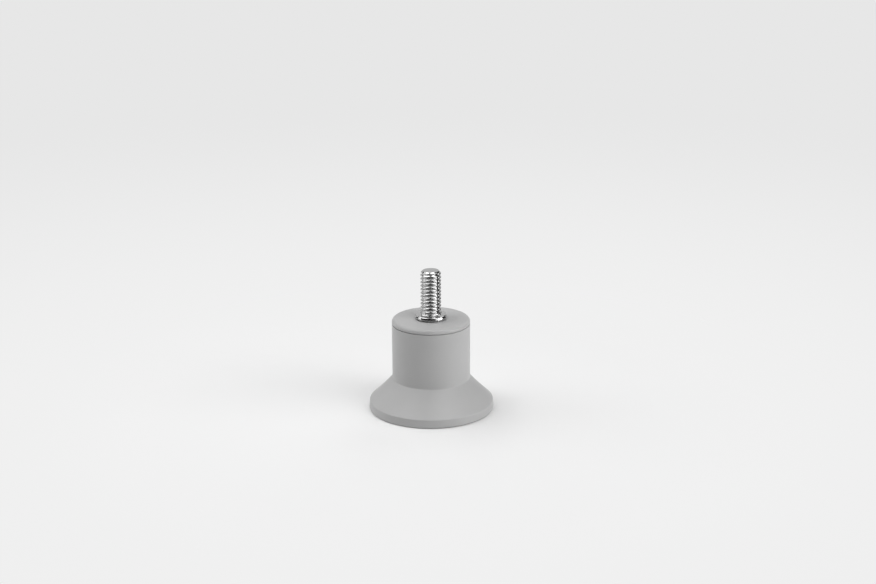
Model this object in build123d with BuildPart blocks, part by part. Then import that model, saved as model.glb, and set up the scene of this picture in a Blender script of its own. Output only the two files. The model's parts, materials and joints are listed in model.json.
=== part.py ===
from build123d import *
import os

# A screw-in furniture leg, in millimetres.
# The origin is the centre of the underside, and +Z runs up the stud.
# Three pieces: the moulded foot, the moulded cap that closes its top, and the plated
# steel stud that clamps the cap to the foot and screws into the furniture.

os.makedirs("parts", exist_ok=True)

# Outside of the foot
leg_height = 36.0           # underside to the top of the cap
neck_radius = 15.0
base_radius = 24.1          # at the underside
band_height = 3.35          # short upright band round the base
band_draft = 0.25           # how far the band draws in towards its top
flare_top_height = 12.4     # where the flared face meets the neck
flare_hollow = 0.15         # how far the middle of the flared face sinks, in and down
heel_round = 0.6            # underside to the band
rim_round = 0.5             # band to the flared face
neck_root_round = 0.6       # flared face to the neck

# Cap and the joint line below it
cap_height = 2.0            # top of the cap to the face that seats on the foot
cap_edge_round = 1.3
joint_gap = 0.28            # open line between the cap's rim and the foot
joint_depth = 0.45          # how deep that line runs in from the neck
lip_round = 0.1
spigot_radius = 11.0        # the cap's hidden spigot, which centres it in the foot
spigot_height = 3.0
spigot_clearance = 0.15     # round the spigot
spigot_end_clearance = 0.2  # below the spigot

# Stud: 5/16 inch, 18 threads to the inch, standing 3/4 inch out of the cap
thread_radius = 3.969
stud_height = 19.05
tip_chamfer = 0.85
collar_radius = 6.1
collar_height = 2.3         # whole collar, from the cap to the thread
collar_rim_top = 0.95       # upright rim of the collar, above the cap
collar_rim_bottom = 0.65
collar_brow_radius = 5.94   # top of the steep face above the rim
collar_brow_height = 1.35
collar_crown_radius = 5.5   # top of the round above that face
collar_crown_height = 1.75
collar_seat_radius = 5.2    # the undercut collar stands on the cap inside this
collar_seat_height = 0.2
collar_flare_bow = 0.25     # how far the middle of the face above sinks, in and down

# Hidden shank, pressed into the foot
shank_radius = 4.0
shank_length = 22.0         # below the collar
shank_point = 0.8
barb_count = 4
barb_pitch = 3.5
barb_depth = 0.35
barb_start = 6.0            # top of the first barb below the collar
bore_clearance = 0.05       # round the shank in the foot
bore_end_clearance = 0.5    # below the shank
cap_hole_clearance = 0.15   # round the shank in the cap

foot_top = leg_height - cap_height
shank_end = leg_height - shank_length

# The moulded foot: a profile turned about the stud's axis
band_top_radius = base_radius - band_draft
flare_middle_radius = (band_top_radius + neck_radius) / 2 - flare_hollow
flare_middle_height = (band_height + flare_top_height) / 2 - flare_hollow
recess_radius = spigot_radius + spigot_clearance
recess_floor = foot_top - spigot_height - spigot_end_clearance
bore_radius = shank_radius + bore_clearance
bore_floor = shank_end - bore_end_clearance

with BuildPart() as foot:
    with BuildSketch(Plane.XZ) as foot_profile:
        with BuildLine() as foot_outline:
            underside = Line((0, 0), (base_radius, 0))
            band = Line(underside @ 1, (band_top_radius, band_height))
            flare = ThreePointArc(
                band @ 1,
                (flare_middle_radius, flare_middle_height),
                (neck_radius, flare_top_height),
            )
            neck = Line(flare @ 1, (neck_radius, foot_top))
            top_face = Line(neck @ 1, (0, foot_top))
            Line(top_face @ 1, (0, 0))
        make_face()
        rounded_corners = (
            (underside @ 1, heel_round),
            (band @ 1, rim_round),
            (flare @ 1, neck_root_round),
            (neck @ 1, lip_round),
        )
        for corner, corner_round in rounded_corners:
            fillet(foot_profile.vertices().sort_by_distance(corner)[0], corner_round)
    revolve(axis=Axis.Z)

    # Recess for the cap's spigot, and the bore for the shank
    with BuildSketch(Plane.XY.offset(recess_floor)):
        Circle(recess_radius)
    extrude(amount=foot_top - recess_floor, mode=Mode.SUBTRACT)
    with BuildSketch(Plane.XY.offset(bore_floor)):
        Circle(bore_radius)
    extrude(amount=recess_floor - bore_floor, mode=Mode.SUBTRACT)

foot.part.label = "foot"
export_step(foot.part, "parts/foot.step")

# The cap: a rim flush with the neck, a seat that leaves the joint line open, and a spigot
seat_radius = neck_radius - joint_depth
cap_hole_radius = shank_radius + cap_hole_clearance

with BuildPart() as top_cap:
    with BuildSketch(Plane.XY.offset(foot_top + joint_gap)):
        Circle(neck_radius)
    extrude(amount=cap_height - joint_gap)
    fillet(top_cap.edges().group_by(Axis.Z)[-1], cap_edge_round)
    fillet(top_cap.edges().group_by(Axis.Z)[0], lip_round)
    with BuildSketch(Plane.XY.offset(foot_top)):
        Circle(seat_radius)
    extrude(amount=joint_gap)
    with BuildSketch(Plane.XY.offset(foot_top - spigot_height)):
        Circle(spigot_radius)
    extrude(amount=spigot_height)
    with Locations((0, 0, leg_height)):
        Hole(cap_hole_radius)

top_cap.part.label = "top_cap"
export_step(top_cap.part, "parts/top_cap.step")

# The stud: thread, flared collar and hidden barbed shank, turned as one piece.
# The thread is a plain cylinder at its outside diameter.
tip_height = leg_height + stud_height
collar_top = leg_height + collar_height
collar_bow_radius = (collar_crown_radius + thread_radius) / 2 - collar_flare_bow
collar_bow_height = leg_height + (collar_crown_height + collar_height) / 2 - collar_flare_bow
round_share = 0.5 ** 0.5
round_radius = collar_crown_radius + (collar_brow_radius - collar_crown_radius) * round_share
round_height = collar_brow_height + (collar_crown_height - collar_brow_height) * round_share
barb_root_radius = shank_radius - barb_depth

# Each barb narrows downwards, so that the shank presses in and won't pull out
shank_outline = [(shank_radius, leg_height)]
for barb in range(barb_count):
    barb_top = leg_height - barb_start - barb * barb_pitch
    shank_outline.append((shank_radius, barb_top))
    shank_outline.append((barb_root_radius, barb_top - barb_pitch))
shank_outline.append((barb_root_radius, shank_end + shank_point))
shank_outline.append((barb_root_radius - shank_point, shank_end))
shank_outline.append((0, shank_end))

with BuildPart() as threaded_stud:
    with BuildSketch(Plane.XZ) as stud_profile:
        with BuildLine() as stud_outline:
            tip = Line((0, tip_height), (thread_radius - tip_chamfer, tip_height))
            chamfered_tip = Line(tip @ 1, (thread_radius, tip_height - tip_chamfer))
            thread_side = Line(chamfered_tip @ 1, (thread_radius, collar_top))
            collar_face = ThreePointArc(
                thread_side @ 1,
                (collar_bow_radius, collar_bow_height),
                (collar_crown_radius, leg_height + collar_crown_height),
            )
            shoulder = ThreePointArc(
                collar_face @ 1,
                (round_radius, leg_height + round_height),
                (collar_brow_radius, leg_height + collar_brow_height),
            )
            steep_face = Line(shoulder @ 1, (collar_radius, leg_height + collar_rim_top))
            collar_rim = Line(steep_face @ 1, (collar_radius, leg_height + collar_rim_bottom))
            undercut = Line(collar_rim @ 1, (collar_seat_radius, leg_height + collar_seat_height))
            collar_foot = Line(undercut @ 1, (collar_seat_radius, leg_height))
            collar_seat = Line(collar_foot @ 1, shank_outline[0])
            Polyline(*shank_outline)
            Line(shank_outline[-1], tip @ 0)
        make_face()
    revolve(axis=Axis.Z)

threaded_stud.part.label = "threaded_stud"
export_step(threaded_stud.part, "parts/threaded_stud.step")
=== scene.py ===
"""A screw-in furniture leg: moulded plastic foot and cap, and a plated threaded steel stud."""

import json
import math

import bmesh
import bpy
from mathutils import Matrix, Vector


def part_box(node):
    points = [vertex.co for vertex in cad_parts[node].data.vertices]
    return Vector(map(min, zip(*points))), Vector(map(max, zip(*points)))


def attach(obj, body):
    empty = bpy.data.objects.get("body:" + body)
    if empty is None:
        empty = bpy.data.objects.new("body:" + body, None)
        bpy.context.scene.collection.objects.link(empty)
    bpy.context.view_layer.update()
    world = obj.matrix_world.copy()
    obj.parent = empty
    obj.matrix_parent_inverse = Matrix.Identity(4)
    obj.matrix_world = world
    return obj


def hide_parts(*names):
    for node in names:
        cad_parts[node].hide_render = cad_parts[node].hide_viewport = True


bl_info = {
    "name": "Screw-in Furniture Leg",
    "version": (1, 0, 0),
    "blender": (4, 5, 0),
    "location": "3D View > Sidebar > Leg",
    "description": "Finishes a moulded furniture leg and threads its plated stud",
    "category": "Object",
}

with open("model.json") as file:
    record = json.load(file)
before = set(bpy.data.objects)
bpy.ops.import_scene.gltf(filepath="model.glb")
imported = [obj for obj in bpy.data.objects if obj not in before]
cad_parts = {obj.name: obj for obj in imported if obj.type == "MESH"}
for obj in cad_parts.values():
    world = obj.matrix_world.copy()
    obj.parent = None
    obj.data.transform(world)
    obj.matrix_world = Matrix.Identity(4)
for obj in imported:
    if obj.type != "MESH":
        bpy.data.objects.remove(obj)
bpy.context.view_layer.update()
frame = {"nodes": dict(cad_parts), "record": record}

MM = 0.001
BODY = "root"
STUD_MOUNT = next(mount for mount in frame["record"]["mounts"] if mount["name"] == "stud")
STUD_LOW, STUD_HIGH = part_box("threaded_stud")
CAP_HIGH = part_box("top_cap")[1]


def linear_colour(hex_code):
    """Turns an sRGB hex value into the linear colour that shaders use."""
    channels = [int(hex_code[place:place + 2], 16) / 255 for place in (1, 3, 5)]
    return [c / 12.92 if c <= 0.04045 else ((c + 0.055) / 1.055) ** 2.4 for c in channels]


def add_node(tree, kind, sockets=None, **settings):
    """Adds a shader node, sets its settings, and gives its sockets values or links."""
    node = tree.nodes.new(kind)
    for name, value in settings.items():
        setattr(node, name, value)
    for socket, value in (sockets or {}).items():
        if isinstance(value, bpy.types.NodeSocket):
            tree.links.new(value, node.inputs[socket])
        else:
            node.inputs[socket].default_value = value
    return node


def new_material(name):
    """An empty node material with its output node."""
    material = bpy.data.materials.new(name)
    material.use_nodes = True
    material.node_tree.nodes.clear()
    return material, add_node(material.node_tree, "ShaderNodeOutputMaterial")


class LegPlasticSettings(bpy.types.PropertyGroup):
    """Colour and texture of the moulded foot and cap."""

    colour: bpy.props.FloatVectorProperty(
        name="Plastic colour",
        description="Grey of the moulded plastic",
        subtype="COLOR", size=3, min=0, max=1,
        default=linear_colour("#B5B5B5"),
    )
    shade_colour: bpy.props.FloatVectorProperty(
        name="Darker plastic",
        description="Slightly darker grey of the cloudy patches in the moulding",
        subtype="COLOR", size=3, min=0, max=1,
        default=linear_colour("#B0B0B0"),
    )
    roughness: bpy.props.FloatProperty(
        name="Roughness",
        description="Satin surface left by the mould",
        subtype="FACTOR", min=0, max=1, default=0.42,
    )
    roughness_spread: bpy.props.FloatProperty(
        name="Roughness spread",
        description="How far the roughness strays to either side over the grain",
        subtype="FACTOR", min=0, max=1, default=0.05,
    )
    cloud_width: bpy.props.FloatProperty(
        name="Cloud width",
        description="Width of the faint cloudy patches where the plastic cooled at different rates",
        subtype="DISTANCE", unit="LENGTH", default=9 * MM,
    )
    grain: bpy.props.FloatProperty(
        name="Grain",
        description="Width of the mould's fine spark grain",
        subtype="DISTANCE", unit="LENGTH", default=0.35 * MM,
    )
    grain_depth: bpy.props.FloatProperty(
        name="Grain depth",
        description="Height of the grain's relief",
        subtype="DISTANCE", unit="LENGTH", default=0.02 * MM,
    )


class LegStudSettings(bpy.types.PropertyGroup):
    """Sizes and finish of the threaded stud."""

    thread_radius: bpy.props.FloatProperty(
        name="Thread radius",
        description="Outside radius of the thread",
        subtype="DISTANCE", unit="LENGTH", default=STUD_MOUNT["dims"]["r_mm"] * MM,
    )
    pitch: bpy.props.FloatProperty(
        name="Pitch",
        description="Distance between threads, 18 to the inch",
        subtype="DISTANCE", unit="LENGTH", default=25.4 / 18 * MM,
    )
    thread_depth: bpy.props.FloatProperty(
        name="Thread depth",
        description="Crest to root of the rolled thread",
        subtype="DISTANCE", unit="LENGTH", default=0.80 * MM,
    )
    thread_start: bpy.props.FloatProperty(
        name="Thread start",
        description="Turn of the thread about the stud",
        subtype="ANGLE", default=math.radians(-31),
    )
    tip_chamfer: bpy.props.FloatProperty(
        name="Tip chamfer",
        description="Width of the chamfer round the tip",
        subtype="DISTANCE", unit="LENGTH", default=0.85 * MM,
    )
    collar_radius: bpy.props.FloatProperty(
        name="Collar radius",
        description="Radius of the flared collar",
        subtype="DISTANCE", unit="LENGTH", default=STUD_HIGH.x,
    )
    collar_height: bpy.props.FloatProperty(
        name="Collar height",
        description="Height of the collar, from the cap to the thread",
        subtype="DISTANCE", unit="LENGTH", default=2.3 * MM,
    )
    collar_rim_top: bpy.props.FloatProperty(
        name="Collar rim top",
        description="Top of the collar's upright rim, above the cap",
        subtype="DISTANCE", unit="LENGTH", default=0.95 * MM,
    )
    collar_rim_bottom: bpy.props.FloatProperty(
        name="Collar rim bottom",
        description="Bottom of the collar's upright rim, above the cap",
        subtype="DISTANCE", unit="LENGTH", default=0.65 * MM,
    )
    crown_radius: bpy.props.FloatProperty(
        name="Crown radius",
        description="Radius at the top of the round above the collar's steep face",
        subtype="DISTANCE", unit="LENGTH", default=5.5 * MM,
    )
    crown_height: bpy.props.FloatProperty(
        name="Crown height",
        description="Height of the top of that round above the cap",
        subtype="DISTANCE", unit="LENGTH", default=1.75 * MM,
    )
    brow_radius: bpy.props.FloatProperty(
        name="Brow radius",
        description="Radius at the top of the collar's steep face, above its rim",
        subtype="DISTANCE", unit="LENGTH", default=5.94 * MM,
    )
    brow_height: bpy.props.FloatProperty(
        name="Brow height",
        description="Height of the top of that steep face above the cap",
        subtype="DISTANCE", unit="LENGTH", default=1.35 * MM,
    )
    seat_radius: bpy.props.FloatProperty(
        name="Seat radius",
        description="Radius of the face that the undercut collar stands on",
        subtype="DISTANCE", unit="LENGTH", default=5.2 * MM,
    )
    seat_height: bpy.props.FloatProperty(
        name="Seat height",
        description="Height of the collar's foot, below its undercut",
        subtype="DISTANCE", unit="LENGTH", default=0.2 * MM,
    )
    shank_radius: bpy.props.FloatProperty(
        name="Shank radius",
        description="Radius of the hidden shank that presses into the foot",
        subtype="DISTANCE", unit="LENGTH", default=4.0 * MM,
    )
    shank_point: bpy.props.FloatProperty(
        name="Shank point",
        description="Width of the chamfer round the end of the shank",
        subtype="DISTANCE", unit="LENGTH", default=0.8 * MM,
    )
    barb_count: bpy.props.IntProperty(
        name="Barbs",
        description="Number of barbs on the shank",
        min=0, default=4,
    )
    barb_pitch: bpy.props.FloatProperty(
        name="Barb pitch",
        description="Distance between barbs",
        subtype="DISTANCE", unit="LENGTH", default=3.5 * MM,
    )
    barb_depth: bpy.props.FloatProperty(
        name="Barb depth",
        description="How far each barb narrows below its top",
        subtype="DISTANCE", unit="LENGTH", default=0.35 * MM,
    )
    barb_start: bpy.props.FloatProperty(
        name="Barb start",
        description="Depth of the first barb's top below the collar",
        subtype="DISTANCE", unit="LENGTH", default=6.0 * MM,
    )
    colour: bpy.props.FloatVectorProperty(
        name="Plating colour",
        description="Grey of the bright plating",
        subtype="COLOR", size=3, min=0, max=1,
        default=linear_colour("#C2C2C2"),
    )
    roughness: bpy.props.FloatProperty(
        name="Roughness",
        description="Polish of the plating",
        subtype="FACTOR", min=0, max=1, default=0.12,
    )
    roughness_spread: bpy.props.FloatProperty(
        name="Roughness spread",
        description="How far the roughness strays to either side over the marks",
        subtype="FACTOR", min=0, max=1, default=0.03,
    )
    mark_width: bpy.props.FloatProperty(
        name="Mark width",
        description="Width of the faint marks that rolling leaves",
        subtype="DISTANCE", unit="LENGTH", default=0.6 * MM,
    )
    mark_depth: bpy.props.FloatProperty(
        name="Mark depth",
        description="Depth of those marks",
        subtype="DISTANCE", unit="LENGTH", default=0.01 * MM,
    )


class LegStageSettings(bpy.types.PropertyGroup):
    """Floor, light and camera."""

    camera_distance: bpy.props.FloatProperty(
        name="Camera distance",
        description="How far the camera stands in front of the leg",
        subtype="DISTANCE", unit="LENGTH", default=617.5 * MM,
    )
    camera_height: bpy.props.FloatProperty(
        name="Camera height",
        description="Height of the camera above the floor",
        subtype="DISTANCE", unit="LENGTH", default=241.1 * MM,
    )
    camera_tilt: bpy.props.FloatProperty(
        name="Camera tilt",
        description="How far the camera looks down",
        subtype="ANGLE", default=math.radians(17.498),
    )
    camera_pan: bpy.props.FloatProperty(
        name="Camera pan",
        description="How far the camera looks to the right",
        subtype="ANGLE", default=math.radians(0.255),
    )
    camera_roll: bpy.props.FloatProperty(
        name="Camera roll",
        description="Lean of the camera about its own line of sight",
        subtype="ANGLE", default=math.radians(-0.266),
    )
    lens: bpy.props.FloatProperty(
        name="Lens",
        description="Focal length in millimetres on a 36 mm wide sensor",
        default=69.86,
    )
    floor_colour: bpy.props.FloatVectorProperty(
        name="Floor colour",
        description="Pale table top",
        subtype="COLOR", size=3, min=0, max=1,
        default=linear_colour("#F0F0F0"),
    )
    floor_shade: bpy.props.FloatVectorProperty(
        name="Darker floor",
        description="Slightly darker patches of the table top",
        subtype="COLOR", size=3, min=0, max=1,
        default=linear_colour("#EFEFEF"),
    )
    # Painted pool of light: away from the leg, the camera sees the floor glow brighter close to the leg
    # than in the distance
    painted_pool_tone: bpy.props.FloatVectorProperty(
        name="Near tone",
        description="Tone of the pale sweep close to the leg",
        subtype="COLOR", size=3, min=0, max=1,
        default=linear_colour("#F1F1F1"),
    )
    far_tone: bpy.props.FloatVectorProperty(
        name="Far tone",
        description="Tone of the pale sweep in the distance",
        subtype="COLOR", size=3, min=0, max=1,
        default=linear_colour("#E7E7E7"),
    )
    room_light: bpy.props.FloatProperty(
        name="Room light",
        description="Faint light from every side of the studio",
        min=0, default=0.01,
    )


def moulded_plastic(settings):
    """Grey polypropylene, injection moulded against a spark-eroded mould.

    The fine grain makes it satin: soft, wide highlights and no mirror image. The real grain is
    too fine to show, so it is drawn several times as coarse.
    """
    material, output = new_material("moulded_grey_polypropylene")
    tree = material.node_tree
    place = add_node(tree, "ShaderNodeTexCoord").outputs["Object"]
    clouds = add_node(tree, "ShaderNodeTexNoise", {
        "Vector": place, "Scale": 1 / settings.cloud_width, "Detail": 3.0,
    })
    grain = add_node(tree, "ShaderNodeTexNoise", {
        "Vector": place, "Scale": 1 / settings.grain, "Detail": 4.0,
    })
    colour = add_node(tree, "ShaderNodeMix", {
        "Factor": clouds.outputs["Fac"],
        "A": (*settings.colour, 1), "B": (*settings.shade_colour, 1),
    }, data_type="RGBA")
    roughness = add_node(tree, "ShaderNodeMapRange", {
        "Value": grain.outputs["Fac"], "From Min": 0.3, "From Max": 0.7,
        "To Min": settings.roughness - settings.roughness_spread,
        "To Max": settings.roughness + settings.roughness_spread,
    })
    bump = add_node(tree, "ShaderNodeBump", {
        "Height": grain.outputs["Fac"], "Strength": 0.25, "Distance": settings.grain_depth,
    })
    surface = add_node(tree, "ShaderNodeBsdfPrincipled", {
        "Base Color": colour.outputs["Result"], "Roughness": roughness.outputs["Result"],
        "IOR": 1.49, "Normal": bump.outputs["Normal"],
    })
    tree.links.new(surface.outputs["BSDF"], output.inputs["Surface"])
    return material


def plated_steel(settings):
    """Steel with a thread rolled into it and a bright plating.

    It mirrors the studio's lamps and the dark between them, a little softened by the marks that
    rolling leaves. The real marks are finer, and are drawn as coarse as they need to show.
    """
    material, output = new_material("bright_plated_rolled_steel")
    tree = material.node_tree
    place = add_node(tree, "ShaderNodeTexCoord").outputs["Object"]
    marks = add_node(tree, "ShaderNodeTexNoise", {
        "Vector": place, "Scale": 1 / settings.mark_width, "Detail": 3.0,
    })
    roughness = add_node(tree, "ShaderNodeMapRange", {
        "Value": marks.outputs["Fac"], "From Min": 0.3, "From Max": 0.7,
        "To Min": settings.roughness - settings.roughness_spread,
        "To Max": settings.roughness + settings.roughness_spread,
    })
    bump = add_node(tree, "ShaderNodeBump", {
        "Height": marks.outputs["Fac"], "Strength": 0.3, "Distance": settings.mark_depth,
    })
    surface = add_node(tree, "ShaderNodeBsdfPrincipled", {
        "Base Color": (*settings.colour, 1), "Metallic": 1.0,
        "Roughness": roughness.outputs["Result"], "Normal": bump.outputs["Normal"],
    })
    tree.links.new(surface.outputs["BSDF"], output.inputs["Surface"])
    return material


class LEG_OT_plastic_pieces(bpy.types.Operator):
    """Give the moulded foot and its cap their satin plastic"""

    bl_idname = "furniture_leg.plastic_pieces"
    bl_label = "Plastic Foot and Cap"

    def execute(self, context):
        plastic = moulded_plastic(context.scene.leg_plastic)
        for name in ("foot", "top_cap"):
            piece = frame["nodes"][name]
            for slot in piece.material_slots:
                slot.material = plastic
        return {"FINISHED"}


def thread_depth_share(turn):
    """How deep the thread's outline is, 0 at the crest and 1 at the root, at a share of a turn.

    The crest is narrower than the root, and the corners of both are rounded.
    """
    crest_half, flank = 0.03, 0.42  # shares of the pitch
    soften = 0.25                   # half width of each rounded corner, as a share of the flank
    from_crest = min(turn, 1 - turn)

    def rounded_ramp(x):
        return 0 if x < 0 else x * x / 2 if x < 1 else x - 0.5

    ramp = (from_crest - crest_half) / flank
    return (rounded_ramp(ramp + soften) - rounded_ramp(ramp - soften)) / (2 * soften)


def bowed_points(start, pull, end, steps):
    """Points on a curve from start to end that is drawn towards pull, without its start."""
    points = []
    for step in range(1, steps + 1):
        t = step / steps
        points.append(start * (1 - t) ** 2 + pull * 2 * t * (1 - t) + end * t * t)
    return points


def thread_grid(settings):
    """The threaded part of the stud, open at its foot and at its tip.

    Each row of the grid climbs one pitch in a turn, so the rows follow the helix and the last
    column meets the first one a pitch higher. Rows past either end are flattened on to it.
    """
    segments = 128
    steps_in_pitch = 24
    radius, pitch = settings.thread_radius, settings.pitch
    thread_low = CAP_HIGH.z + settings.collar_height
    thread_high = STUD_HIGH.z
    tip_radius = radius - settings.tip_chamfer
    neck_radius = radius - 0.25 * settings.thread_depth  # the plain neck that the thread fades into
    runout = 0.5 * pitch

    grid = bmesh.new()
    rows = []
    turns = math.ceil((thread_high - thread_low) / pitch) + 2
    for row in range(turns * steps_in_pitch):
        share = (row % steps_in_pitch) / steps_in_pitch
        depth = settings.thread_depth * thread_depth_share(share)
        ring = []
        for segment in range(segments):
            height = thread_low + pitch * (row / steps_in_pitch - 1 + segment / segments)
            height = min(max(height, thread_low), thread_high)
            fade = min(1, (height - thread_low) / runout)
            fade = fade * fade * (3 - 2 * fade)
            here = neck_radius + (radius - depth - neck_radius) * fade
            here = min(here, tip_radius + thread_high - height)
            turn = 2 * math.pi * segment / segments + settings.thread_start
            ring.append(grid.verts.new((here * math.cos(turn), here * math.sin(turn), height)))
        rows.append(ring)

    ends = ({round(thread_low / MM, 6)}, {round(thread_high / MM, 6)})
    for row in range(len(rows) - 1):
        for segment in range(segments):
            after, climb = segment + 1, 0
            if after == segments:
                after, climb = 0, steps_in_pitch
            if row + 1 + climb >= len(rows):
                continue
            corners = (rows[row][segment], rows[row + climb][after],
                       rows[row + 1 + climb][after], rows[row + 1][segment])
            if {round(corner.co.z / MM, 6) for corner in corners} not in ends:
                grid.faces.new(corners)

    merge = 0.0005 * MM
    bmesh.ops.remove_doubles(grid, verts=grid.verts, dist=merge)
    bmesh.ops.dissolve_degenerate(grid, edges=grid.edges, dist=merge)
    loose = [vert for vert in grid.verts if not vert.link_faces]
    bmesh.ops.delete(grid, geom=loose, context="VERTS")
    return grid


def outline_below_thread(settings, start):
    """Radius and height of the collar and the hidden barbed shank, from under start downwards."""
    seat = CAP_HIGH.z
    crown = Vector((settings.crown_radius, seat + settings.crown_height))
    brow = Vector((settings.brow_radius, seat + settings.brow_height))
    rim = Vector((settings.collar_radius, seat + settings.collar_rim_top))
    flare = Vector((start.x + 0.1 * MM, crown.y + 0.02 * MM))
    corner = Vector((brow.x - 0.04 * MM, crown.y - 0.05 * MM))
    outline = bowed_points(start, flare, crown, 14)
    outline += bowed_points(crown, corner, brow, 8)
    outline += bowed_points(brow, brow.lerp(rim, 0.6), rim, 4)
    outline.append(Vector((settings.collar_radius, seat + settings.collar_rim_bottom)))
    outline.append(Vector((settings.seat_radius, seat + settings.seat_height)))
    outline.append(Vector((settings.seat_radius, seat)))

    # Each barb narrows downwards, so that the shank presses in and won't pull out
    shank, root = settings.shank_radius, settings.shank_radius - settings.barb_depth
    outline.append(Vector((shank, seat)))
    for barb in range(settings.barb_count):
        barb_top = seat - settings.barb_start - barb * settings.barb_pitch
        outline.append(Vector((shank, barb_top)))
        outline.append(Vector((root, barb_top - settings.barb_pitch)))
    outline.append(Vector((root, STUD_LOW.z + settings.shank_point)))
    outline.append(Vector((root - settings.shank_point, STUD_LOW.z)))
    return outline


def open_ring(grid, height):
    """The vertices of the grid's open edge at a height, in order round the stud."""
    ring = {
        vert
        for edge in grid.edges if len(edge.link_faces) == 1
        for vert in edge.verts if abs(vert.co.z - height) < 0.001 * MM
    }
    return sorted(ring, key=lambda vert: math.atan2(vert.co.y, vert.co.x))


def join_rings(grid, lower, upper):
    """Bridges two rings of vertices that have the same count."""
    count = len(lower)
    for place in range(count):
        after = (place + 1) % count
        grid.faces.new((lower[place], lower[after], upper[after], upper[place]))


class LEG_OT_threaded_stud(bpy.types.Operator):
    """Build the plated stud with its rolled thread, flared collar and hidden shank"""

    bl_idname = "furniture_leg.threaded_stud"
    bl_label = "Threaded Stud"

    def execute(self, context):
        settings = context.scene.leg_stud
        grid = thread_grid(settings)
        above = open_ring(grid, CAP_HIGH.z + settings.collar_height)
        tip_ring = open_ring(grid, STUD_HIGH.z)
        angles = [math.atan2(vert.co.y, vert.co.x) for vert in above]
        start = Vector((above[0].co.xy.length, above[0].co.z))
        for radius, height in outline_below_thread(settings, start):
            ring = [grid.verts.new((radius * math.cos(a), radius * math.sin(a), height)) for a in angles]
            join_rings(grid, ring, above)
            above = ring
        grid.faces.new(list(reversed(above)))
        grid.faces.new(tip_ring)
        bmesh.ops.recalc_face_normals(grid, faces=grid.faces)
        open_edges = sum(1 for edge in grid.edges if len(edge.link_faces) != 2)
        if open_edges:
            raise RuntimeError(f"the stud's mesh has {open_edges} open edges")

        mesh = bpy.data.meshes.new("threaded_stud_rolled")
        grid.to_mesh(mesh)
        grid.free()
        mesh.polygons.foreach_set("use_smooth", [True] * len(mesh.polygons))
        mesh.set_sharp_from_angle(angle=math.radians(40))
        mesh.materials.append(plated_steel(settings))
        piece = bpy.data.objects.new("rolled_stud", mesh)
        context.scene.collection.objects.link(piece)
        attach(piece, BODY)
        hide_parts("threaded_stud")
        return {"FINISHED"}


def softbox(scene, name, azimuth, elevation, size, power, distance=1.0):
    """A rectangular area lamp that faces the leg.

    It stands azimuth degrees round to the right of the leg's front and elevation degrees up, at a
    distance in metres. Its size is width and height in metres, and its power is in watts.
    """
    turn, rise = math.radians(azimuth), math.radians(elevation)
    towards = Vector((math.cos(rise) * math.sin(turn), -math.cos(rise) * math.cos(turn), math.sin(rise)))
    lamp = bpy.data.lights.new(name, "AREA")
    lamp.shape = "RECTANGLE"
    lamp.size, lamp.size_y = size
    lamp.energy = power
    holder = bpy.data.objects.new(name, lamp)
    holder.location = towards * distance + Vector((0, 0, 20 * MM))
    holder.rotation_mode = "QUATERNION"
    holder.rotation_quaternion = towards.to_track_quat("Z", "Y")
    scene.collection.objects.link(holder)


def white_board(settings):
    """Matt white table top. Away from the leg a camera sees it as a pale sweep that glows with a painted
    pool of light, brighter close to the leg and fading into the distance.
    """
    material, output = new_material("matt_white_board")
    tree = material.node_tree
    place = add_node(tree, "ShaderNodeTexCoord").outputs["Object"]
    speckle = add_node(tree, "ShaderNodeTexNoise", {
        "Vector": place, "Scale": 1 / (40 * MM), "Detail": 2.0,
    })
    colour = add_node(tree, "ShaderNodeMix", {
        "Factor": speckle.outputs["Fac"],
        "A": (*settings.floor_colour, 1), "B": (*settings.floor_shade, 1),
    }, data_type="RGBA")
    board = add_node(tree, "ShaderNodeBsdfPrincipled", {
        "Base Color": colour.outputs["Result"], "Roughness": 0.7, "Specular IOR Level": 0.2,
    })
    away = add_node(tree, "ShaderNodeVectorMath", {0: place}, operation="LENGTH").outputs["Value"]
    # Painted pool of light: the glow is brighter close to the leg and fades outwards with distance from
    # it
    pool_fade = add_node(tree, "ShaderNodeMapRange", {
        "Value": away, "From Min": 0.05, "From Max": 0.6, "To Min": 0.0, "To Max": 1.0,
    }, interpolation_type="SMOOTHSTEP")
    painted_pool_mix = add_node(tree, "ShaderNodeMix", {
        "Factor": pool_fade.outputs["Result"],
        "A": (*settings.painted_pool_tone, 1), "B": (*settings.far_tone, 1),
    }, data_type="RGBA")
    # This glow carries the painted pool of light, shown only to the camera away from the leg
    sweep = add_node(tree, "ShaderNodeEmission", {"Color": painted_pool_mix.outputs["Result"]})
    outside = add_node(tree, "ShaderNodeMapRange", {
        "Value": away, "From Min": 0.06, "From Max": 0.16, "To Min": 0.0, "To Max": 1.0,
    }, interpolation_type="SMOOTHSTEP")
    seen = add_node(tree, "ShaderNodeLightPath").outputs["Is Camera Ray"]
    share = add_node(tree, "ShaderNodeMath", {
        0: outside.outputs["Result"], 1: seen,
    }, operation="MULTIPLY")
    surface = add_node(tree, "ShaderNodeMixShader", {
        0: share.outputs["Value"], 1: board.outputs["BSDF"], 2: sweep.outputs["Emission"],
    })
    tree.links.new(surface.outputs["Shader"], output.inputs["Surface"])
    return material


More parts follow.
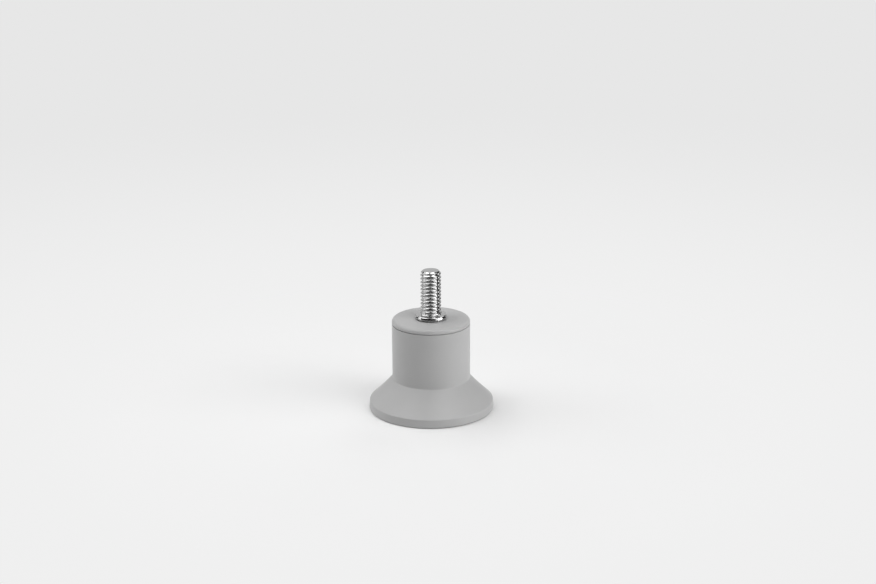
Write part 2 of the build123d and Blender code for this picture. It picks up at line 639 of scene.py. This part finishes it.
class LEG_OT_stage(bpy.types.Operator):
    """Lay the pale floor and set the soft lights and the camera"""

    bl_idname = "furniture_leg.stage"
    bl_label = "Stage"

    def execute(self, context):
        settings = context.scene.leg_stage
        scene = context.scene

        floor_mesh = bpy.data.meshes.new("floor")
        reach = 20  # metres, far enough for its edge to be lost in the distance
        corners = [(-reach, -reach, 0), (reach, -reach, 0), (reach, reach, 0), (-reach, reach, 0)]
        floor_mesh.from_pydata(corners, [], [(0, 1, 2, 3)])
        floor = bpy.data.objects.new("floor", floor_mesh)
        scene.collection.objects.link(floor)
        floor_mesh.materials.append(white_board(settings))

        world = bpy.data.worlds.new("studio")
        world.use_nodes = True
        scene.world = world
        tree = world.node_tree
        tree.nodes.clear()
        seen = add_node(tree, "ShaderNodeLightPath").outputs["Is Camera Ray"]
        room = add_node(tree, "ShaderNodeBackground", {
            "Color": (1, 1, 1, 1), "Strength": settings.room_light,
        })
        backdrop = add_node(tree, "ShaderNodeBackground", {
            "Color": (*settings.far_tone, 1), "Strength": 1.0,
        })
        mixed = add_node(tree, "ShaderNodeMixShader", {
            0: seen, 1: room.outputs["Background"], 2: backdrop.outputs["Background"],
        })
        add_node(tree, "ShaderNodeOutputWorld", {"Surface": mixed.outputs["Shader"]})

        softbox(scene, "right_softbox", 50, 45, (0.50, 1.10), 3.15)
        softbox(scene, "right_top_softbox", 50, 72, (0.50, 0.50), 1.7)
        softbox(scene, "right_panel", 72, 12, (0.60, 0.40), 3.9)
        softbox(scene, "left_softbox", 275, 50, (0.90, 0.75), 2.75)
        softbox(scene, "left_top_softbox", 270, 68, (0.50, 0.40), 1.8)
        softbox(scene, "left_panel", 258, 19, (0.80, 0.30), 1.7)
        softbox(scene, "back_left_softbox", 215, 50, (0.50, 0.30), 1.4)
        softbox(scene, "back_right_softbox", 148, 45, (0.50, 0.30), 0.85)
        softbox(scene, "back_panel", 190, 20, (1.80, 0.50), 1.9)
        softbox(scene, "top_softbox", 0, 89, (0.60, 0.60), 0.4)

        camera_data = bpy.data.cameras.new("camera")
        camera_data.lens = settings.lens
        camera_data.sensor_width = 36
        camera = bpy.data.objects.new("camera", camera_data)
        camera.matrix_world = (
            Matrix.Translation((0, -settings.camera_distance, settings.camera_height))
            @ Matrix.Rotation(-settings.camera_pan, 4, "Z")
            @ Matrix.Rotation(math.radians(90) - settings.camera_tilt, 4, "X")
            @ Matrix.Rotation(settings.camera_roll, 4, "Z")
        )
        scene.collection.objects.link(camera)
        scene.camera = camera
        scene.view_settings.view_transform = "Standard"
        return {"FINISHED"}


class LEG_PT_sidebar(bpy.types.Panel):
    """Sidebar panel with one button for each step"""

    bl_label = "Furniture Leg"
    bl_idname = "LEG_PT_sidebar"
    bl_space_type = "VIEW_3D"
    bl_region_type = "UI"
    bl_category = "Leg"

    def draw(self, context):
        for operator in OPERATORS:
            self.layout.operator(operator.bl_idname)


SETTINGS = {
    "leg_plastic": LegPlasticSettings,
    "leg_stud": LegStudSettings,
    "leg_stage": LegStageSettings,
}
OPERATORS = (LEG_OT_stage, LEG_OT_plastic_pieces, LEG_OT_threaded_stud)
CLASSES = (*SETTINGS.values(), *OPERATORS, LEG_PT_sidebar)


def register():
    for cls in CLASSES:
        bpy.utils.register_class(cls)
    for name, cls in SETTINGS.items():
        setattr(bpy.types.Scene, name, bpy.props.PointerProperty(type=cls))


def unregister():
    for name in SETTINGS:
        delattr(bpy.types.Scene, name)
    for cls in reversed(CLASSES):
        bpy.utils.unregister_class(cls)


def main():
    register()
    bpy.ops.furniture_leg.stage()
    bpy.ops.furniture_leg.plastic_pieces()
    bpy.ops.furniture_leg.threaded_stud()


if __name__ == "__main__":
    main()
